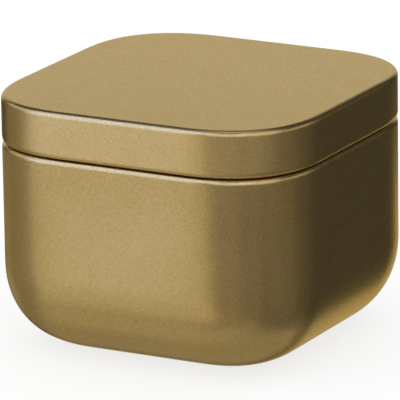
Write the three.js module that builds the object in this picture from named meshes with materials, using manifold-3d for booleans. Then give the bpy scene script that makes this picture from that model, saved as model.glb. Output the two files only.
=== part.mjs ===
// A cake of bow rosin in its tin: a square, round-cornered tin with a slip-on lid, and inside it
// a foam cradle, the cloth that the cake is held in, the cake, and a foam pad under the lid.
// Millimetres, +Z up. The origin is the centre of the base, on the surface the tin stands on,
// and -Y is the front.

import * as THREE from 'three';
import { mergeVertices } from 'three/addons/utils/BufferGeometryUtils.js';
import Module from 'manifold-3d';

const wasm = await Module();
wasm.setup();

// ---- Driving dimensions ----------------------------------------------------------------------

const WIDTH = 60; // across the lid, the widest part; the tin is square seen from above
const HEIGHT = 45.5; // closed, from the surface it stands on to the top of the lid
const SHEET = 0.3; // tinplate with its paint
const BEAD = 0.9; // diameter of the rolled edges of the lid and of the body
const CLEARANCE = 0.3; // between pieces that touch

const LID_CORNER = 16; // corner radius of the lid, seen from above
const LID_DEPTH = 8.35; // height of the lid's skirt
const LID_EDGE = 1.0; // bend between the lid's top and its skirt

const BODY_INSET = 0.25; // how far the body's wall stands back from the lid's skirt
const BODY_CORNER = 15.1; // corner radius of the body's wall, seen from above
const SHOULDER = 1.0; // bend between the body's wall and the neck that the lid slips over
const SEAM = 0.3; // gap between the lid's rolled edge and the shoulder
const BASE_REACH = 12.7; // the base's rounding, measured in from the wall
const BASE_RISE = 14.75; // the base's rounding, measured up from the ground
const BASE_CORNER = 5.0; // corner radius of the flat that the tin stands on
const FOOT_WIDTH = 3.5; // the flat ring that touches the ground, around a raised panel
const PANEL_RISE = 0.6; // how far that panel is raised
const PANEL_STEP = 1.6; // width of the slope around it

const PAD_INSET = 2.8; // how far the lid's pad stands back from the lid's skirt
const PAD_THICKNESS = 1.5;

const CRADLE_TOP = 30; // height of the foam cradle's top face
const CRADLE_EDGE = 1.0; // its rounded top edge
const POCKET_RADIUS = 25;
const POCKET_FLOOR = 18; // height of the pocket's floor
const POCKET_EDGE = 1.0; // bevel between the pocket's floor and its wall
const CUT_MARGIN = 1; // how far the solid that cuts the pocket stands above the top face

const CLOTH = 0.8; // thickness of the cloth
const CLOTH_WALL = 23.4; // outer radius of the cloth where it stands up around the cake
const CLOTH_REACH = 27.3; // radius of the cloth's edge, where it lies on the cradle

const CAKE_RADIUS = 20;
const CAKE_DRAFT = 0.4; // the mould's taper: the cake is this much smaller in radius at its foot
const CAKE_THICKNESS = 15;
const CAKE_EDGE = 1.5; // rounding of the cake's edges

// ---- How finely curves are cut ---------------------------------------------------------------

const CORNER_STEPS = 8; // facets in each quarter-round corner, seen from above
const BEND_STEPS = 4; // facets in a tight quarter-round bend of the sheet
const BEAD_STEPS = 7; // facets around a rolled edge
const BASE_STEPS = 8; // facets in the base's large rounding
const TURN_STEPS = 48; // facets around a round piece

// ---- Worked out from the driving dimensions --------------------------------------------------

const lidHalf = WIDTH / 2;
const lidFoot = HEIGHT - LID_DEPTH;
const bodyHalf = lidHalf - BODY_INSET;
const shoulderTop = lidFoot - SEAM;
const neckHalf = bodyHalf - SHOULDER;
const rimTop = HEIGHT - SHEET - CLEARANCE;
const footHalf = bodyHalf - BASE_REACH;
const beadRadius = BEAD / 2;
// Where the inner face of the sheet meets its rolled edge, as an angle around the roll's centre.
const beadJoin = Math.acos((beadRadius - SHEET) / beadRadius);

// ---- Rounded-square rings --------------------------------------------------------------------
// A ring is { half, corner, z }: half the width of a rounded square, its corner radius, its height.

const lidRing = (half, z) => ({ half, corner: LID_CORNER - (lidHalf - half), z });

const bodyRing = (half, z) => ({ half, corner: BODY_CORNER - (bodyHalf - half), z });

// Below the wall the corners tighten faster than the sides come in, down to the foot's corners.
function baseRing(half, z) {
	const share = (half - footHalf) / BASE_REACH;
	return { half, corner: THREE.MathUtils.lerp(BASE_CORNER, BODY_CORNER, share), z };
}

const footRing = (half, z) => ({ half, corner: (BASE_CORNER * half) / footHalf, z });

const axisRing = (z) => ({ half: 0, corner: 0, z });

// The outline of a ring, counter-clockwise seen from above.
function outline({ half, corner, z }) {
	const points = [];
	for (let quarter = 0; quarter < 4; quarter++) {
		for (let step = 0; step <= CORNER_STEPS; step++) {
			const angle = (step / CORNER_STEPS) * (Math.PI / 2);
			const x = half - corner + corner * Math.cos(angle);
			const y = half - corner + corner * Math.sin(angle);
			const point = new THREE.Vector2(x, y).rotateAround(new THREE.Vector2(), quarter * (Math.PI / 2));
			points.push(new THREE.Vector3(point.x, point.y, z));
		}
	}
	return points;
}

// A closed solid through rings that start and end on the axis: out along its underside first,
// then up its outside, then back to the axis.
function loft(rings) {
	const [first, last] = [rings.at(0), rings.at(-1)];
	const outlines = rings.slice(1, -1).map(outline);
	const around = outlines[0].length;
	const vertices = [...outlines.flat(), new THREE.Vector3(0, 0, first.z), new THREE.Vector3(0, 0, last.z)];
	const [firstCentre, lastCentre] = [vertices.length - 2, vertices.length - 1];
	const lastStart = (outlines.length - 1) * around;
	const triangles = [];
	for (let i = 0; i < around; i++) {
		const next = (i + 1) % around;
		triangles.push(firstCentre, next, i);
		for (let start = 0; start < lastStart; start += around) {
			const above = start + around;
			triangles.push(start + i, start + next, above + next);
			triangles.push(start + i, above + next, above + i);
		}
		triangles.push(lastCentre, lastStart + i, lastStart + next);
	}
	const geometry = new THREE.BufferGeometry().setFromPoints(vertices);
	geometry.setIndex(triangles);
	return geometry;
}

// The rings of an outer face, moved into the sheet by a distance along the face's own normal.
function offset(rings, distance) {
	const normalBetween = (a, b) => new THREE.Vector2(b.z - a.z, a.half - b.half).normalize();
	return rings.map((ring, i) => {
		const before = rings[Math.max(i - 1, 0)];
		const after = rings[Math.min(i + 1, rings.length - 1)];
		const incoming = i > 0 ? normalBetween(before, ring) : normalBetween(ring, after);
		const outgoing = i < rings.length - 1 ? normalBetween(ring, after) : incoming;
		const mitre = incoming.clone().add(outgoing).normalize();
		mitre.multiplyScalar(distance / mitre.dot(incoming));
		return { half: ring.half - mitre.x, corner: ring.corner - mitre.x, z: ring.z - mitre.y };
	});
}

// Rings along an arc in the upright plane. Angles are in radians, 0 outwards and a quarter turn up.
function arc(ringAt, centreHalf, centreZ, reach, rise, from, to, steps) {
	const rings = [];
	for (let step = 0; step <= steps; step++) {
		const angle = from + (step / steps) * (to - from);
		rings.push(ringAt(centreHalf + reach * Math.cos(angle), centreZ + rise * Math.sin(angle)));
	}
	return rings;
}

// ---- The tin ---------------------------------------------------------------------------------

// The outer face from the middle of the raised panel up to the top of the straight wall.
function basinRings() {
	const footInner = footHalf - FOOT_WIDTH;
	return [
		axisRing(PANEL_RISE),
		footRing(footInner - PANEL_STEP, PANEL_RISE),
		footRing(footInner, 0),
		...arc(baseRing, footHalf, BASE_RISE, BASE_REACH, BASE_RISE, -Math.PI / 2, 0, BASE_STEPS),
	];
}

function tinBody() {
	const shoulderFoot = shoulderTop - SHOULDER;
	const outside = [
		...basinRings(),
		...arc(bodyRing, neckHalf, shoulderFoot, SHOULDER, SHOULDER, 0, Math.PI / 2, BEND_STEPS),
		bodyRing(neckHalf, rimTop - beadRadius),
	];
	const inside = offset(outside, SHEET).slice(0, -1).reverse();
	const rollEnd = 2 * Math.PI - beadJoin;
	const rollHalf = neckHalf - beadRadius;
	const roll = arc(bodyRing, rollHalf, rimTop - beadRadius, beadRadius, beadRadius, 0, rollEnd, BEAD_STEPS);
	return loft([...outside, ...roll.slice(1), ...inside]);
}

function tinLid() {
	const quarter = Math.PI / 2;
	const bendHalf = lidHalf - LID_EDGE;
	const bendZ = HEIGHT - LID_EDGE;
	const innerBend = LID_EDGE - SHEET;
	const rollHalf = lidHalf - beadRadius;
	const rollZ = lidFoot + beadRadius;
	return loft([
		axisRing(HEIGHT - SHEET),
		...arc(lidRing, bendHalf, bendZ, innerBend, innerBend, quarter, 0, BEND_STEPS),
		...arc(lidRing, rollHalf, rollZ, beadRadius, beadRadius, beadJoin, 2 * Math.PI, BEAD_STEPS),
		...arc(lidRing, bendHalf, bendZ, LID_EDGE, LID_EDGE, 0, quarter, BEND_STEPS),
		axisRing(HEIGHT),
	]);
}

// ---- The soft pieces -------------------------------------------------------------------------

function lidPad() {
	const half = lidHalf - PAD_INSET;
	const top = HEIGHT - SHEET - CLEARANCE;
	const foot = top - PAD_THICKNESS;
	return loft([axisRing(foot), lidRing(half, foot), lidRing(half, top), axisRing(top)]);
}

// A block of foam that fills the lower part of the tin, with a round pocket in its top.
function cradle() {
	const shell = offset([...basinRings(), bodyRing(bodyHalf, CRADLE_TOP)], SHEET + CLEARANCE);
	const half = shell.at(-1).half;
	const edgeHalf = half - CRADLE_EDGE;
	const edgeZ = CRADLE_TOP - CRADLE_EDGE;
	const edge = arc(bodyRing, edgeHalf, edgeZ, CRADLE_EDGE, CRADLE_EDGE, 0, Math.PI / 2, BEND_STEPS);
	const block = loft([...shell.slice(0, -1), ...edge, axisRing(CRADLE_TOP)]);
	const cutTop = CRADLE_TOP + CUT_MARGIN;
	const pocket = turned([
		[0, POCKET_FLOOR],
		[POCKET_RADIUS - POCKET_EDGE, POCKET_FLOOR],
		[POCKET_RADIUS, POCKET_FLOOR + POCKET_EDGE],
		[POCKET_RADIUS, cutTop],
		[0, cutTop],
	]);
	return cut(block, pocket);
}

// The cloth under the cake, up around its side, and out over the cradle's top.
function cakeCloth() {
	const floor = POCKET_FLOOR + CLEARANCE;
	const ledge = CRADLE_TOP + CLEARANCE;
	return turned([
		[0, floor],
		[CLOTH_WALL, floor],
		[CLOTH_WALL, ledge],
		[CLOTH_REACH, ledge],
		[CLOTH_REACH, ledge + CLOTH],
		[CLOTH_WALL - CLOTH, ledge + CLOTH],
		[CLOTH_WALL - CLOTH, floor + CLOTH],
		[0, floor + CLOTH],
	]);
}

// The cake's rounded edge at a radius, as [radius, height] points over a quarter turn from an angle.
function cakeEdge(radius, height, from) {
	const centre = radius - CAKE_EDGE;
	const curve = new THREE.EllipseCurve(centre, height, CAKE_EDGE, CAKE_EDGE, from, from + Math.PI / 2);
	return curve.getPoints(BEND_STEPS).map((point) => point.toArray());
}

function rosinCake() {
	const foot = POCKET_FLOOR + CLEARANCE + CLOTH + CLEARANCE;
	const top = foot + CAKE_THICKNESS;
	return turned([
		[0, foot],
		...cakeEdge(CAKE_RADIUS - CAKE_DRAFT, foot + CAKE_EDGE, -Math.PI / 2),
		...cakeEdge(CAKE_RADIUS, top - CAKE_EDGE, 0),
		[0, top],
	]);
}

// ---- Round pieces and cutting ----------------------------------------------------------------

// A solid turned about the vertical axis from [radius, height] points that start and end on it.
function turned(profile) {
	const points = profile.map(([radius, height]) => new THREE.Vector2(radius, height));
	return welded(new THREE.LatheGeometry(points, TURN_STEPS).rotateX(Math.PI / 2));
}

// The same geometry with positions only and its shared vertices merged.
function welded(geometry) {
	geometry.deleteAttribute('normal');
	geometry.deleteAttribute('uv');
	return mergeVertices(geometry, 1e-5);
}

function solidOf(geometry) {
	const vertProperties = new Float32Array(geometry.attributes.position.array);
	const triVerts = new Uint32Array(geometry.index.array);
	return new wasm.Manifold(new wasm.Mesh({ numProp: 3, vertProperties, triVerts }));
}

function cut(block, tool) {
	const mesh = solidOf(block).subtract(solidOf(tool)).getMesh();
	const geometry = new THREE.BufferGeometry();
	geometry.setAttribute('position', new THREE.BufferAttribute(mesh.vertProperties, 3));
	geometry.setIndex(new THREE.BufferAttribute(mesh.triVerts, 1));
	return geometry;
}

// ---- The assembly ----------------------------------------------------------------------------

function piece(name, geometry, color, roughness, metalness = 0) {
	geometry.computeVertexNormals();
	const mesh = new THREE.Mesh(geometry, new THREE.MeshStandardMaterial({ color, roughness, metalness }));
	mesh.name = name;
	return mesh;
}

const GOLD = 0xb59e70;

const tin = new THREE.Group();
tin.add(piece('tin_body', tinBody(), GOLD, 0.4, 0.9));
tin.add(piece('cradle', cradle(), 0x2b2a2a, 0.95));

const lid = new THREE.Group();
lid.add(piece('tin_lid', tinLid(), GOLD, 0.4, 0.9));
lid.add(piece('lid_pad', lidPad(), 0xe9e7e1, 0.9));

const cake = new THREE.Group();
cake.add(piece('cake_cloth', cakeCloth(), 0x5a1a26, 0.95));
cake.add(piece('rosin_cake', rosinCake(), 0x9a4a12, 0.15));

const rosinTin = new THREE.Group();
rosinTin.add(tin, lid, cake);

export default rosinTin;
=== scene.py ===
import math

import bpy
from mathutils import Euler, Matrix, Vector


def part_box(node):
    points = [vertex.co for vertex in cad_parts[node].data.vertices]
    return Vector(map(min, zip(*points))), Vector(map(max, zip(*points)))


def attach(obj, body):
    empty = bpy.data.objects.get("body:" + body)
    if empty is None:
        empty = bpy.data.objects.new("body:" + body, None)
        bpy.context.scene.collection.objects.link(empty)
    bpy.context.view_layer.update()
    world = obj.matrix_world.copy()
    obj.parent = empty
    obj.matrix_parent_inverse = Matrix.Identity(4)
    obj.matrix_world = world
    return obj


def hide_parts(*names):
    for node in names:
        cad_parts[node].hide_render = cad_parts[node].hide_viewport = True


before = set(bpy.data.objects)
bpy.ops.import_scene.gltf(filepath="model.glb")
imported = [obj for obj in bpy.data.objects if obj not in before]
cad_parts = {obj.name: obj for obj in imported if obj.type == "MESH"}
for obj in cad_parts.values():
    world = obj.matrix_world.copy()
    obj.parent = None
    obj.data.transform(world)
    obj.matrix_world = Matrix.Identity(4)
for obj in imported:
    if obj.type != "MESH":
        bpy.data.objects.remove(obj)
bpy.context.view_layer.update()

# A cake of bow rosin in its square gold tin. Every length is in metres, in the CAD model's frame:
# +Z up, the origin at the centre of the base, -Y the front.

MM = 0.001

# ---- Sizes: the outer ones come from the CAD model, the bends and the sheet are named here -------

LID_LOW, LID_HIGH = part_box("tin_lid")
PAD_LOW, PAD_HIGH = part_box("lid_pad")
CAKE_LOW, CAKE_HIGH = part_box("rosin_cake")
CLOTH_LOW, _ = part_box("cake_cloth")
_, BODY_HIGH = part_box("tin_body")
_, CRADLE_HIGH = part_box("cradle")

SHEET = 0.3 * MM  # thickness of the tinplate
BEAD = 0.45 * MM  # radius of the rolled edges
CLEARANCE = 0.3 * MM  # kept between pieces that rest on each other

LID_HALF = LID_HIGH.x  # half of a square's width, measured to its flat side, as every half here is
LID_CORNER = 16 * MM
LID_EDGE = 1.0 * MM  # radius of the bend from the top into the skirt
LID_HEM = 1.0 * MM  # height of the rounding outside the rolled lower edge of the lid

BODY_HALF = BODY_HIGH.x
BODY_CORNER = 15.1 * MM
SHOULDER = 1.0 * MM  # radius of the bend under the lid, which is also how far the neck stands in
SEAM = 0.225 * MM  # gap between the shoulder and the lid
CREASE = 0.12 * MM  # radius of the corner between the shoulder and the neck
NECK_HALF = BODY_HALF - SHOULDER
BASE_CORNER = 5.0 * MM  # corner radius of the flat that the tin stands on
FOOT_WIDTH = 3.5 * MM  # of the flat ring around the raised panel
PANEL_RISE = 0.6 * MM
PANEL_STEP = 1.6 * MM  # width of the slope around the raised panel

PAD_EDGE = 0.35 * MM  # radius of the pad's edges
CRADLE_EDGE = 1.0 * MM  # radius of the cradle's upper edge
CRADLE_SIDE = 4 * MM  # height of the cradle's upright side, below that edge
POCKET_RADIUS = 25 * MM
POCKET_FLOOR = CLOTH_LOW.z - CLEARANCE
POCKET_MOUTH = 0.8 * MM  # radius of the pocket's upper edge
POCKET_FILLET = 1 * MM  # radius of the corner between its wall and its floor

CAKE_DRAFT = 0.4 * MM  # how much less the cake's radius is at its foot than at its top
CAKE_EDGE = 1.5 * MM  # radius of its edges
CAKE_DISH = 0.35 * MM  # how far the middle of its top has sunk

CLOTH_THICKNESS = 0.7 * MM
CLOTH_FOLDS = 17
FOLD_DEPTH = 1.8 * MM  # half of a fold's depth, where the cloth is gathered most
FOLD_LEAN = 0.22  # how far round the folds have leant at the cloth's edge, in radians
PINKING_TEETH = 72  # the cloth's edge is cut with pinking shears
PINKING_DEPTH = 1.3 * MM
PINKING_BAND = 4 * MM  # width of the edge over which the teeth fade out, so that the mesh stays even
# The cloth from its middle to its edge: each row is a length of it, and its slope in degrees at the
# end of that length.
CLOTH_RUN = (
    (20.6 * MM, 0),  # flat under the cake
    (3.1 * MM, 90),  # turns up
    (9.7 * MM, 90),  # stands around the cake
    (3.4 * MM, 0),  # turns out over the cradle's edge
    (2.2 * MM, -8),  # lies on the cradle
)
CLOTH_RADIUS = sum(length for length, _ in CLOTH_RUN)  # of the round that the cloth was cut to

# Roundings are not plain arcs: the metal bends gently at first and more tightly in the middle. A power
# of 2 is a plain arc, and a higher one spreads it over more of the flats, with its middle kept in place.
CORNER_POWER = 2.45
BASE_POWER = 2.2

CORNER_STEPS = 28  # points in each rounded corner, seen from above
SIDE_STEPS = 10  # points along each straight side
BEND_STEPS = 10  # rings in a tight quarter-round bend
BASE_STEPS = 26  # rings in the base's large rounding
PANEL_STEPS = 8  # rings in the slope around the raised panel
NEAR = 0.06 * MM  # how close a second ring lies to a bend, to keep the flat beside it flat
FACE_ROUNDNESS = 0.45  # corner radius of the rings inside a flat face, as a share of their half
CLOTH_AROUND = 288  # points around the cloth
CLOTH_RINGS = 56  # rings from the cloth's middle to its edge


# ---- Mesh building ---------------------------------------------------------------------------

def spread(power):
    """How much further a rounding of this power reaches than a plain arc through the same middle."""
    return (1 - 2**-0.5) / (1 - 2 ** (-1 / power))


def rounding(power, steps):
    """(across, along) from (1, 0) towards (0, 1), along a quarter rounding; the last point is left out."""
    points = []
    for step in range(steps):
        angle = step / steps * math.pi / 2
        points.append((math.cos(angle) ** (2 / power), math.sin(angle) ** (2 / power)))
    return points


BASE_REACH = 12.8 * MM * spread(BASE_POWER)
BASE_RISE = 14.3 * MM * spread(BASE_POWER)
FOOT_HALF = BODY_HALF - BASE_REACH


# The next four functions give a ring's corner radius from its half.

def lid_corner(half):
    return LID_CORNER - (LID_HALF - half)


def body_corner(half):
    return BODY_CORNER - (BODY_HALF - half)


def base_corner(half):
    share = (half - FOOT_HALF) / BASE_REACH
    return BASE_CORNER + share * (BODY_CORNER - BASE_CORNER)


def foot_corner(half):
    return BASE_CORNER * half / FOOT_HALF


def square_outline(half, corner):
    """Points of a square with round corners, counter-clockwise seen from above."""
    points = []
    reach = corner * spread(CORNER_POWER)
    flat = half - reach
    for quarter in range(4):
        turn = Matrix.Rotation(quarter * math.pi / 2, 2)
        for step in range(SIDE_STEPS):
            points.append(turn @ Vector((half, flat * (2 * step / SIDE_STEPS - 1))))
        for across, along in rounding(CORNER_POWER, CORNER_STEPS):
            points.append(turn @ Vector((flat + reach * across, flat + reach * along)))
    return points


def square_ring(half, corner, z):
    return [(point.x, point.y, z) for point in square_outline(half, corner)]


def round_ring(radius, z):
    """As many points as square_ring gives, in the same directions as on the body, but on a circle."""
    model = [point.normalized() * radius for point in square_outline(BODY_HALF, BODY_CORNER)]
    return [(point.x, point.y, z) for point in model]


def arc(centre_half, centre_z, reach, rise, start, end, steps):
    """(half, z) pairs along an arc in the upright plane; angles in degrees, 0 outwards and 90 up."""
    pairs = []
    for step in range(steps + 1):
        angle = math.radians(start + (end - start) * step / steps)
        pairs.append((centre_half + reach * math.cos(angle), centre_z + rise * math.sin(angle)))
    return pairs


def rings(pairs, corner):
    """(half, corner radius, z) levels from (half, z) pairs, with the corner radius that a rule gives."""
    return [(half, corner(half), z) for half, z in pairs]


def lid_rings(pairs, face_half):
    """Levels with the lid's corner radii, but rounder ones inside face_half, in the middle of a face."""
    def corner(half):
        return lid_corner(half) if half > face_half else half * FACE_ROUNDNESS

    return rings(pairs, corner)


def offset(outer, distance):
    """Levels of an outer face moved into the sheet by distance, along the face's normals."""
    moved = []
    for i, (half, corner, z) in enumerate(outer):
        before, after = outer[max(i - 1, 0)], outer[min(i + 1, len(outer) - 1)]
        normals = []
        for a, b in ((before, outer[i]), (outer[i], after)):
            along = Vector((b[0] - a[0], b[2] - a[2]))
            if along.length > 0:
                normals.append(Vector((along.y, -along.x)).normalized())
        mitre = sum(normals, Vector((0, 0))).normalized()
        mitre *= distance / mitre.dot(normals[0])
        moved.append((half - mitre.x, corner - mitre.x, z - mitre.y))
    return moved


def mesh_object(name, vertices, faces):
    """A smooth-shaded object of this mesh, in the scene."""
    mesh = bpy.data.meshes.new(name)
    mesh.from_pydata(vertices, [], faces)
    mesh.validate()
    mesh.polygons.foreach_set("use_smooth", [True] * len(mesh.polygons))
    piece = bpy.data.objects.new(name, mesh)
    bpy.context.scene.collection.objects.link(piece)
    return piece


def loft(name, outlines):
    """A closed body through outlines of (x, y, z) points; the first and the last are closed with a fan."""
    around = len(outlines[0])
    vertices = [point for outline in outlines for point in outline]
    faces = []
    for level in range(len(outlines) - 1):
        for i in range(around):
            start, following = level * around, (level + 1) * around
            after = (i + 1) % around
            faces.append((start + i, start + after, following + after, following + i))
    for level, flip in ((0, True), (len(outlines) - 1, False)):
        outline = outlines[level]
        centre = len(vertices)
        vertices.append((0, 0, sum(point[2] for point in outline) / around))
        for i in range(around):
            edge = (level * around + i, level * around + (i + 1) % around)
            faces.append((centre, edge[1], edge[0]) if flip else (centre, edge[0], edge[1]))
    return mesh_object(name, vertices, faces)


def square_loft(name, levels):
    return loft(name, [square_ring(*level) for level in levels])


# ---- The tin ---------------------------------------------------------------------------------

PANEL_HALF = FOOT_HALF - FOOT_WIDTH - PANEL_STEP
ROLL_JOIN = math.degrees(math.acos((BEAD - SHEET) / BEAD))  # where a bead meets the sheet's inner face


def basin_levels():
    """Levels of the body's outer face, from the middle of the raised panel up to the straight wall."""
    panel = [(NEAR, PANEL_RISE), (PANEL_HALF * 0.4, PANEL_RISE), (PANEL_HALF * 0.8, PANEL_RISE)]
    for step in range(PANEL_STEPS + 1):
        share = step / PANEL_STEPS
        fall = share * share * (3 - 2 * share)  # level at both ends of the slope
        panel.append((PANEL_HALF + PANEL_STEP * share, PANEL_RISE * (1 - fall)))
    flat = [(FOOT_HALF - NEAR * 5, 0.0)]
    base = [(BODY_HALF, BASE_RISE)]
    for across, along in rounding(BASE_POWER, BASE_STEPS)[1:]:
        base.insert(0, (FOOT_HALF + BASE_REACH * across, BASE_RISE * (1 - along)))
    base.insert(0, (FOOT_HALF, 0.0))
    return rings(panel + flat, foot_corner) + rings(base, base_corner)


def make_body():
    """The can: up its outside, around the rolled rim, and down its inside."""
    shoulder_top = LID_LOW.z - SEAM
    wall_top = shoulder_top - SHOULDER
    rim_z = BODY_HIGH.z - BEAD
    wall = [(BODY_HALF, wall_top - NEAR)]
    shoulder = arc(NECK_HALF, wall_top, SHOULDER, SHOULDER, 0, 90, BEND_STEPS)
    crease = arc(NECK_HALF + CREASE, shoulder_top + CREASE, CREASE, CREASE, 270, 180, 3)
    neck = [(NECK_HALF, rim_z - NEAR), (NECK_HALF, rim_z)]
    outside = basin_levels() + rings(wall + shoulder[:-1] + crease + neck, body_corner)
    roll = rings(arc(NECK_HALF - BEAD, rim_z, BEAD, BEAD, 0, 360 - ROLL_JOIN, 16)[1:], body_corner)
    inside = offset(outside, SHEET)[:-2]  # without the neck's last two, which the roll stands for
    return square_loft("tin_body_shell", outside + roll + list(reversed(inside)))


def make_lid():
    """The lid: out along its underside, around the rolled edge, up its outside and over its top."""
    bend_half, bend_z = LID_HALF - LID_EDGE, LID_HIGH.z - LID_EDGE
    face_half = bend_half - NEAR * 3
    under_edge = LID_EDGE - SHEET
    top_z, under_z = LID_HIGH.z, LID_HIGH.z - SHEET
    middle = [LID_HALF * share for share in (0.02, 0.3, 0.6)]
    under = [(half, under_z) for half in middle + [face_half]]
    under += arc(bend_half, bend_z, under_edge, under_edge, 90, 0, BEND_STEPS)
    roll = arc(LID_HALF - BEAD, LID_LOW.z + BEAD, BEAD, BEAD, ROLL_JOIN, 270, 14)
    hem = arc(LID_HALF - BEAD, LID_LOW.z + LID_HEM, BEAD, LID_HEM, 270, 360, 12)[1:]
    skirt = [(LID_HALF, LID_LOW.z + LID_HEM + NEAR), (LID_HALF, bend_z - NEAR)]
    bend = arc(bend_half, bend_z, LID_EDGE, LID_EDGE, 0, 90, BEND_STEPS + 4)
    top = [(half, top_z) for half in [face_half] + middle[::-1]]
    levels = lid_rings(under + roll + hem + skirt + bend + top, face_half=LID_HALF * 0.7)
    return square_loft("tin_lid_shell", levels)


# ---- The soft pieces and the cake ------------------------------------------------------------

def make_pad():
    half = PAD_HIGH.x
    foot = arc(half - PAD_EDGE, PAD_LOW.z + PAD_EDGE, PAD_EDGE, PAD_EDGE, -90, 0, 4)
    head = arc(half - PAD_EDGE, PAD_HIGH.z - PAD_EDGE, PAD_EDGE, PAD_EDGE, 0, 90, 4)
    middle = [half * share for share in (0.05, 0.35, 0.65, 0.9)]
    under = [(inner, PAD_LOW.z) for inner in middle]
    top = [(inner, PAD_HIGH.z) for inner in reversed(middle)]
    return square_loft("lid_pad_foam", lid_rings(under + foot + head + top, face_half=half * 0.9))


def make_cradle():
    """The foam block: up its outside, which follows the tin's, then down into its round pocket."""
    half, top = CRADLE_HIGH.x, CRADLE_HIGH.z
    side_top = top - CRADLE_EDGE
    side = [(half, side_top - CRADLE_SIDE), (half, side_top)]
    lip = arc(half - CRADLE_EDGE, side_top, CRADLE_EDGE, CRADLE_EDGE, 0, 90, 5)[1:]
    outside = offset(basin_levels(), SHEET + CLEARANCE) + rings(side + lip, body_corner)

    mouth_centre = POCKET_RADIUS + POCKET_MOUTH
    fillet_centre = POCKET_RADIUS - POCKET_FILLET
    pocket = arc(mouth_centre, top - POCKET_MOUTH, POCKET_MOUTH, POCKET_MOUTH, 90, 180, 5)
    pocket += [(POCKET_RADIUS, POCKET_FLOOR + height) for height in (6 * MM, 1.5 * MM)]
    pocket += arc(fillet_centre, POCKET_FLOOR + POCKET_FILLET, POCKET_FILLET, POCKET_FILLET, 0, -90, 4)
    pocket += [(POCKET_RADIUS * share, POCKET_FLOOR) for share in (0.7, 0.35, 0.05)]
    outlines = [square_ring(*level) for level in outside] + [round_ring(*level) for level in pocket]
    return loft("cradle_foam", outlines)


def make_cake():
    """The cake: a cast disc with soft edges, a slight draft, and a top that sank as it cooled."""
    radius = CAKE_HIGH.x
    foot_centre = radius - CAKE_DRAFT - CAKE_EDGE
    under = [(radius * share, CAKE_LOW.z) for share in (0.02, 0.5, 0.85)]
    foot = arc(foot_centre, CAKE_LOW.z + CAKE_EDGE, CAKE_EDGE, CAKE_EDGE, -90, 0, 8)
    head = arc(radius - CAKE_EDGE, CAKE_HIGH.z - CAKE_EDGE, CAKE_EDGE, CAKE_EDGE, 0, 90, 8)
    top = []
    for share in (0.9, 0.75, 0.55, 0.35, 0.15, 0.02):
        sunk = CAKE_DISH * (1 - share**4)
        top.append((radius * share, CAKE_HIGH.z - sunk))
    return loft("rosin_cake_cast", [round_ring(*level) for level in under + foot + head + top])


def cloth_line(distance):
    """Radius, z and slope of the cloth at a distance from its middle along it, before it is gathered."""
    radius, z, slope = 0.0, CLOTH_LOW.z + CLOTH_THICKNESS / 2, 0.0
    for length, end in CLOTH_RUN:
        part = min(distance, length)
        curl = (math.radians(end) - slope) / length
        reached = slope + curl * part
        if curl == 0:
            radius += part * math.cos(slope)
            z += part * math.sin(slope)
        else:
            radius += (math.sin(reached) - math.sin(slope)) / curl
            z += (math.cos(slope) - math.cos(reached)) / curl
        slope = reached
        distance -= part
        if distance <= 0:
            break
    return radius, z, slope


def gather(angle):
    """Height of the cloth's folds around the cake, from -1 to 1, as uneven as gathered cloth is."""
    drift = 0.9 * math.sin(2 * angle + 0.7) + 0.5 * math.sin(5 * angle + 2.1)  # crowds some folds
    depth = 0.86 + 0.14 * math.sin(3 * angle + 1.0)  # makes some deeper
    return depth * math.cos(CLOTH_FOLDS * angle + drift)


def cloth_point(distance, angle):
    """A point of the cloth's middle surface, by its place on the flat round that was cut."""
    flat_part = CLOTH_RUN[0][0]
    gathered = max(0.0, (distance - flat_part) / (CLOTH_RADIUS - flat_part))
    radius, z, slope = cloth_line(distance)
    growing = min(1.0, 1.25 * gathered**0.5)  # the folds start at the cake's foot
    fading = 1 - 0.45 * gathered**3  # and open out again towards the edge
    height = growing * fading
    swell = FOLD_DEPTH * height * gather(angle + FOLD_LEAN * gathered)
    radius -= swell * math.sin(slope)
    z += swell * math.cos(slope)
    return (radius * math.cos(angle), radius * math.sin(angle), z)


def make_cloth():
    """A round of flannel under the cake, up around its side in folds, and out over the cradle."""
    vertices = [cloth_point(0, 0)]
    for ring in range(1, CLOTH_RINGS + 1):
        distance = CLOTH_RADIUS * (ring / CLOTH_RINGS) ** 0.85  # the rings lie closer near the edge
        bite = max(0.0, 1 - (CLOTH_RADIUS - distance) / PINKING_BAND)
        for i in range(CLOTH_AROUND):
            tooth = abs(2 * (i * PINKING_TEETH / CLOTH_AROUND % 1) - 1)
            cut = distance - PINKING_DEPTH * tooth * bite
            vertices.append(cloth_point(cut, math.tau * i / CLOTH_AROUND))
    faces = [(0, 1 + i, 1 + (i + 1) % CLOTH_AROUND) for i in range(CLOTH_AROUND)]
    for ring in range(CLOTH_RINGS - 1):
        start = 1 + ring * CLOTH_AROUND
        following = start + CLOTH_AROUND
        for i in range(CLOTH_AROUND):
            after = (i + 1) % CLOTH_AROUND
            faces.append((start + i, following + i, following + after, start + after))
    cloth = mesh_object("cake_cloth_gathered", vertices, faces)
    thickness = cloth.modifiers.new("thickness", "SOLIDIFY")
    thickness.thickness = CLOTH_THICKNESS
    thickness.offset = 0
    return cloth


# ---- Assembly --------------------------------------------------------------------------------

body = make_body()
lid = make_lid()
pad = make_pad()
cradle = make_cradle()
cloth = make_cloth()
cake = make_cake()

for piece, cad_body, node, slot in (
    (body, "tin", "tin_body", "gold_tin"),
    (cradle, "tin", "cradle", "cradle_foam"),
    (lid, "lid", "tin_lid", "gold_tin"),
    (pad, "lid", "lid_pad", "pad_foam"),
    (cloth, "cake", "cake_cloth", "cloth"),
    (cake, "cake", "rosin_cake", "rosin"),
):
    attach(piece, cad_body)
    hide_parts(node)


# ---- Materials -------------------------------------------------------------------------------

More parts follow.
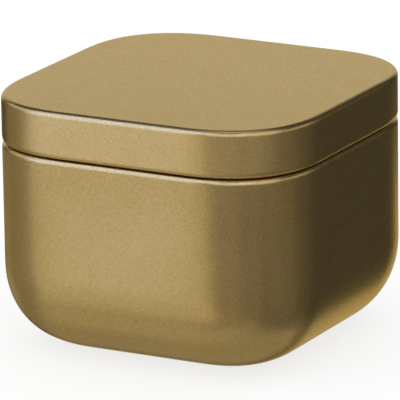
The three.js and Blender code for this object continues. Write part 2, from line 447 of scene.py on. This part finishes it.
def linear(red, green, blue):
    """A colour given as on a screen, 0 to 255, as Blender's linear values."""
    values = []
    for channel in (red, green, blue):
        share = channel / 255
        values.append(share / 12.92 if share <= 0.04045 else ((share + 0.055) / 1.055) ** 2.4)
    return (*values, 1.0)


COLOUR_A, COLOUR_B, COLOUR_RESULT = 6, 7, 2  # the colour sockets of Blender's Mix node


class Surface:
    """A material under construction: a Principled shader, and short calls that add nodes before it."""

    def __init__(self, name):
        self.material = bpy.data.materials.new(name)
        self.material.use_nodes = True
        self.nodes = self.material.node_tree.nodes
        self.links = self.material.node_tree.links
        self.shader = self.nodes["Principled BSDF"]
        coordinates = self.nodes.new("ShaderNodeTexCoord")
        self.place = coordinates.outputs["Object"]
        self.facing = coordinates.outputs["Normal"]

    def set(self, **inputs):
        """Sets inputs of the shader, whose names are given with _ for a space."""
        for name, value in inputs.items():
            self.shader.inputs[name.replace("_", " ")].default_value = value

    def feed(self, name, output):
        """Links an output to an input of the shader."""
        self.links.new(output, self.shader.inputs[name])

    def noise(self, grain, detail=2.0, roughness=0.5, stretch=(1, 1, 1)):
        """Noise whose blotches are about grain metres across, times stretch along X, Y and Z."""
        place = self.nodes.new("ShaderNodeVectorMath")
        place.operation = "DIVIDE"
        place.inputs[1].default_value = stretch
        self.links.new(self.place, place.inputs[0])
        node = self.nodes.new("ShaderNodeTexNoise")
        node.inputs["Scale"].default_value = 1 / grain
        node.inputs["Detail"].default_value = detail
        node.inputs["Roughness"].default_value = roughness
        self.links.new(place.outputs["Vector"], node.inputs["Vector"])
        return node.outputs["Fac"]

    def cells(self, size):
        """A random value from 0 to 1 in each of the cells, which are about size metres across."""
        node = self.nodes.new("ShaderNodeTexVoronoi")
        node.inputs["Scale"].default_value = 1 / size
        self.links.new(self.place, node.inputs["Vector"])
        parts = self.nodes.new("ShaderNodeSeparateColor")
        self.links.new(node.outputs["Color"], parts.inputs["Color"])
        return parts.outputs["Red"]

    def upward(self):
        """1 where the surface faces up, 0 where it is upright and -1 where it faces down."""
        parts = self.nodes.new("ShaderNodeSeparateXYZ")
        self.links.new(self.facing, parts.inputs["Vector"])
        return parts.outputs["Z"]

    def calculate(self, operation, *values):
        """A sum of the kind that Blender's Math node names."""
        node = self.nodes.new("ShaderNodeMath")
        node.operation = operation
        for socket, value in zip(node.inputs, values):
            if isinstance(value, float):
                socket.default_value = value
            else:
                self.links.new(value, socket)
        return node.outputs["Value"]

    def ramp(self, value, low, high, start=0.0, end=1.0):
        """value rescaled so that low becomes start and high becomes end."""
        node = self.nodes.new("ShaderNodeMapRange")
        node.inputs["From Min"].default_value = low
        node.inputs["From Max"].default_value = high
        node.inputs["To Min"].default_value = start
        node.inputs["To Max"].default_value = end
        self.links.new(value, node.inputs["Value"])
        return node.outputs["Result"]

    def mix(self, share, first, second):
        """Blend of two colours by share."""
        node = self.nodes.new("ShaderNodeMix")
        node.data_type = "RGBA"
        self.links.new(share, node.inputs["Factor"])
        for socket, colour in ((node.inputs[COLOUR_A], first), (node.inputs[COLOUR_B], second)):
            if isinstance(colour, tuple):
                socket.default_value = colour
            else:
                self.links.new(colour, socket)
        return node.outputs[COLOUR_RESULT]

    def bump(self, height, depth):
        """Relief of depth metres."""
        node = self.nodes.new("ShaderNodeBump")
        node.inputs["Distance"].default_value = depth
        self.links.new(height, node.inputs["Height"])
        return node.outputs["Normal"]


GOLD_LIGHT = linear(216, 189, 137)
GOLD_DEEP = linear(189, 159, 93)
GOLD_EDGE = (1.0, 0.88, 0.68, 1.0)  # keeps the gold from turning white at a glancing angle

# The deep flannel colour is both the worn cloth and the painted shade down in the nap.
FLANNEL_LIGHT = linear(120, 32, 48)
FLANNEL_DEEP = linear(74, 15, 28)
AMBER = linear(190, 98, 26)
AMBER_DEEP = linear(152, 64, 14)
POWDER = linear(236, 208, 164)


def gold_lacquer():
    """Satin gold lacquer on tinplate: metal flake under a thin clear film, with a fine powdery grain."""
    paint = Surface("gold_lacquer")
    fleck = paint.calculate("SUBTRACT", paint.cells(0.12 * MM), 0.5)
    contrast = paint.ramp(paint.upward(), 0.5, 1.0, start=1.0, end=0.35)  # less on top faces
    tone = paint.ramp(paint.noise(9 * MM, detail=3), 0.35, 0.65, start=0.46, end=0.54)
    share = paint.calculate("MULTIPLY_ADD", fleck, contrast, tone)
    paint.feed("Base Color", paint.mix(share, GOLD_DEEP, GOLD_LIGHT))
    grain = paint.noise(0.3 * MM, detail=1)
    paint.feed("Roughness", paint.ramp(grain, 0.3, 0.7, start=0.27, end=0.35))
    paint.feed("Normal", paint.bump(grain, 0.006 * MM))
    paint.set(Metallic=1.0, Specular_Tint=GOLD_EDGE, Coat_Weight=0.1, Coat_Roughness=0.2)
    return paint.material


def foam(name, colour, shade, cell):
    """Closed-cell foam: matt, with small pits about cell metres across, whose hollows are painted darker
    as painted shade.
    """
    skin = Surface(name)
    pits = skin.noise(cell, detail=3, roughness=0.6)
    # Painted shade: the colour goes from colour to shade down in the pits, where the bump is lowest.
    skin.feed("Base Color", skin.mix(skin.ramp(pits, 0.35, 0.65), shade, colour))
    skin.feed("Normal", skin.bump(pits, 0.15 * MM))
    skin.set(Roughness=0.92)
    return skin.material


def flannel():
    """Soft brushed cloth: a nap of loose fibres, worn unevenly, with painted shade down in the nap."""
    cloth = Surface("flannel")
    nap = cloth.noise(0.3 * MM, detail=4, roughness=0.7)
    wear = cloth.noise(5 * MM, detail=3)
    unevenness = cloth.calculate("SUBTRACT", wear, 0.5)
    # Darker where the cloth is worn, which is its own colour, and where the nap is low, which is painted
    # shade from the same noise as the bump.
    shade = cloth.calculate("MULTIPLY_ADD", unevenness, 0.5, nap)
    cloth.feed("Base Color", cloth.mix(cloth.ramp(shade, 0.3, 0.7), FLANNEL_DEEP, FLANNEL_LIGHT))
    cloth.feed("Normal", cloth.bump(nap, 0.1 * MM))
    cloth.set(Roughness=0.95, Sheen_Weight=0.25, Sheen_Roughness=0.5, Sheen_Tint=linear(190, 90, 105))
    return cloth.material


def rosin():
    """Cast resin: deep amber that lets light in, with pale powder in the tracks that the bow leaves."""
    resin = Surface("rosin")
    cloud = resin.ramp(resin.noise(12 * MM, detail=2), 0.35, 0.65)
    amber = resin.mix(cloud, AMBER, AMBER_DEEP)
    tracks = resin.ramp(resin.noise(0.6 * MM, detail=3, stretch=(22, 1, 1)), 0.5, 0.72, end=0.3)
    worn = resin.ramp(resin.noise(9 * MM, detail=2), 0.42, 0.62)
    top = resin.ramp(resin.upward(), 0.9, 1.0)
    powder = resin.calculate("MULTIPLY", resin.calculate("MULTIPLY", tracks, worn), top)
    resin.feed("Base Color", resin.mix(powder, amber, POWDER))
    resin.feed("Roughness", resin.ramp(powder, 0.0, 0.25, start=0.1, end=0.5))
    resin.feed("Normal", resin.bump(tracks, 0.03 * MM))
    resin.set(IOR=1.53, Subsurface_Weight=0.8, Subsurface_Radius=(1.0, 0.3, 0.06), Subsurface_Scale=6 * MM)
    return resin.material


def finish_piece(piece, material):
    piece.data.materials.clear()
    piece.data.materials.append(material)


gold = gold_lacquer()
finish_piece(body, gold)
finish_piece(lid, gold)
# The second colour of each foam is the painted shade in its pits.
finish_piece(pad, foam("pad_foam", linear(238, 235, 226), linear(214, 210, 200), 0.5 * MM))
finish_piece(cradle, foam("cradle_foam", linear(52, 50, 50), linear(28, 27, 28), 0.6 * MM))
finish_piece(cloth, flannel())
finish_piece(cake, rosin())


# ---- Stage, light and camera -----------------------------------------------------------------

FLOOR_REACH = 3.0
FLOOR_DROP = 0.05 * MM  # how far the floor lies under the base, so that the two don't coincide


def make_floor():
    """A pale floor that glows a little, so that it is nearly white, and isn't reflected in the gold."""
    reach, z = FLOOR_REACH, -FLOOR_DROP
    corners = [(-reach, -reach, z), (reach, -reach, z), (reach, reach, z), (-reach, reach, z)]
    mesh = bpy.data.meshes.new("floor")
    mesh.from_pydata(corners, [], [(0, 1, 2, 3)])
    floor = bpy.data.objects.new("floor", mesh)
    bpy.context.scene.collection.objects.link(floor)
    white = Surface("floor_white")
    pale = (0.25, 0.25, 0.25, 1)
    white.set(Base_Color=pale, Roughness=1.0, Emission_Color=(1, 1, 1, 1), Emission_Strength=0.77)
    white.material.cycles.emission_sampling = "NONE"
    finish_piece(floor, white.material)
    floor.visible_glossy = False
    floor.visible_shadow = False


def receivers(name, *pieces):
    """A group of pieces, for lamps that light them and nothing else."""
    group = bpy.data.collections.new(name)
    for piece in pieces:
        group.objects.link(piece)
    return group


def direction(azimuth, elevation):
    """Unit vector towards a place around the object: azimuth 0 is the front, 90 the +X side."""
    a, e = math.radians(azimuth), math.radians(elevation)
    return Vector((math.sin(a) * math.cos(e), -math.cos(a) * math.cos(e), math.sin(e)))


LIGHT_CENTRE = Vector((0, 0, 20 * MM))  # the middle, which the lamps and the camera are placed around
LAMP_DISTANCE = 0.5
CARD_DISTANCE = 0.104  # of the one small card that stands close to the tin
AMBIENT = 0.055  # what the gold reflects where there is no lamp

# Rectangular lamps around the object: azimuth and elevation of the lamp, the width and height that it
# fills, all in degrees as seen from the middle, its brightness in red, green and blue, and its
# distance where that isn't the usual one. The gold is nearly a mirror and shows them as reflections.
TIN_SOFTBOXES = (
    ("backdrop", -150, 12, 60, 40, (0.72, 0.74, 0.7)),
    ("backdrop_foot", -166, -27, 46, 24, (0.62, 0.54, 0.28)),
    ("backdrop_line", -152, -12, 40, 10, (0.6, 0.5, 0.24)),
    ("key", -37, 28, 44, 64, (1.14, 1.4, 2.4)),
    ("zenith", 0, 90, 36, 36, (0.6, 0.6, 0.6)),
    ("front_high", 16, 27, 46, 50, (0.95, 1.08, 1.35)),
    ("right_high", 66, 35, 46, 54, (0.85, 0.86, 0.88)),
    ("left_high", -82, 24, 34, 24, (0.78, 0.75, 0.52)),
    ("right_front", 62, 4, 40, 24, (0.27, 0.28, 0.25)),
    ("right_low", 90, -18, 46, 34, (0.14, 0.13, 0.11)),
    ("right_edge", 126, -16, 20, 36, (0.06, 0.055, 0.045)),
    ("right_back", 115, 18, 40, 26, (0.55, 0.54, 0.45)),
    ("left_middle", -77, -6, 54, 26, (0.21, 0.19, 0.12)),
    ("table_front", -31, -12, 43, 18, (0.6, 0.56, 0.39)),
    ("table_near", -28, -29, 44, 16, (0.63, 0.61, 0.52)),
    ("table_card", -21, -12, 17, 9, (0.24, 0.27, 0.5), CARD_DISTANCE),
    ("table_middle", 5, -20, 34, 36, (0.21, 0.18, 0.13)),
    ("table_right", 40, -24, 40, 34, (0.18, 0.16, 0.13)),
    ("table_left", -90, -34, 60, 32, (0.22, 0.21, 0.15)),
    ("below_front", -24, -50, 66, 28, (0.14, 0.13, 0.1)),
    ("right_foot", 106, -44, 60, 18, (0.1, 0.11, 0.1)),
    ("back_foot", 160, -46, 34, 16, (0.12, 0.11, 0.07)),
    ("below", 0, -87, 82, 82, (0.34, 0.32, 0.26)),
)
# The lid alone shows these, and the body alone the next.
LID_SOFTBOXES = (
    ("lid_glow", 24, -14, 94, 20, (0.15, 0.14, 0.12)),
    ("lid_gleam", -41, -14, 32, 20, (0.2, 0.24, 0.45)),
    ("lid_glint", -59, -14, 14, 20, (0.14, 0.1, 0.01)),
)
BODY_SOFTBOXES = (("left_back", -117, -18, 30, 26, (0.19, 0.17, 0.1)),)
# Nearly white, for the pieces inside the tin.
INSIDE_SOFTBOXES = (
    ("inside_key", -37, 40, 44, 40, (1.4, 1.38, 1.34)),
    ("inside_sky", 20, 80, 50, 40, (0.9, 0.92, 0.95)),
    ("inside_back", 160, 35, 60, 24, (0.7, 0.72, 0.75)),
)


def softbox(name, azimuth, elevation, width, height, brightness, distance=LAMP_DISTANCE):
    """A rectangular lamp that faces the object, with the energy that makes its colour its radiance."""
    data = bpy.data.lights.new(name, "AREA")
    data.shape = "RECTANGLE"
    data.size = 2 * distance * math.tan(math.radians(width / 2))
    data.size_y = 2 * distance * math.tan(math.radians(height / 2))
    data.color = brightness
    data.energy = math.pi * data.size * data.size_y
    lamp = bpy.data.objects.new(name, data)
    bpy.context.scene.collection.objects.link(lamp)
    towards = direction(azimuth, elevation)
    lamp.location = LIGHT_CENTRE + towards * distance
    lamp.rotation_euler = towards.to_track_quat("Z", "Y").to_euler()
    lamp.visible_camera = False
    return lamp


def make_world():
    """White all around, but dim in reflections, so that those show the lamps."""
    world = bpy.data.worlds.new("studio")
    bpy.context.scene.world = world
    world.use_nodes = True
    nodes, links = world.node_tree.nodes, world.node_tree.links
    background = nodes["Background"]
    background.inputs["Color"].default_value = (1, 1, 1, 1)
    strength = nodes.new("ShaderNodeMapRange")
    strength.inputs["To Min"].default_value = 1.0
    strength.inputs["To Max"].default_value = AMBIENT
    links.new(nodes.new("ShaderNodeLightPath").outputs["Is Glossy Ray"], strength.inputs["Value"])
    links.new(strength.outputs["Result"], background.inputs["Strength"])


CAMERA_DIRECTION = direction(28.384, 16.23)
CAMERA_DISTANCE = 0.96317
CAMERA_AIM = Vector((-0.37, -0.20, 23.6)) * MM
CAMERA_ROLL = math.radians(-0.902)


def make_camera():
    data = bpy.data.cameras.new("camera")
    data.lens = 490.0
    data.sensor_width = 36.0
    camera = bpy.data.objects.new("camera", data)
    bpy.context.scene.collection.objects.link(camera)
    camera.location = LIGHT_CENTRE + CAMERA_DIRECTION * CAMERA_DISTANCE
    look = (camera.location - CAMERA_AIM).to_track_quat("Z", "Y")
    roll = Euler((0, 0, CAMERA_ROLL)).to_quaternion()
    camera.rotation_mode = "QUATERNION"
    camera.rotation_quaternion = look @ roll
    bpy.context.scene.camera = camera


make_floor()
make_camera()
make_world()
bpy.context.scene.view_settings.view_transform = "Standard"

for lamps, group in (
    (TIN_SOFTBOXES, receivers("lit_tin", body, lid)),
    (LID_SOFTBOXES, receivers("lit_lid", lid)),
    (BODY_SOFTBOXES, receivers("lit_body", body)),
    (INSIDE_SOFTBOXES, receivers("lit_inside", pad, cradle, cloth, cake)),
):
    for lamp in lamps:
        softbox(*lamp).light_linking.receiver_collection = group
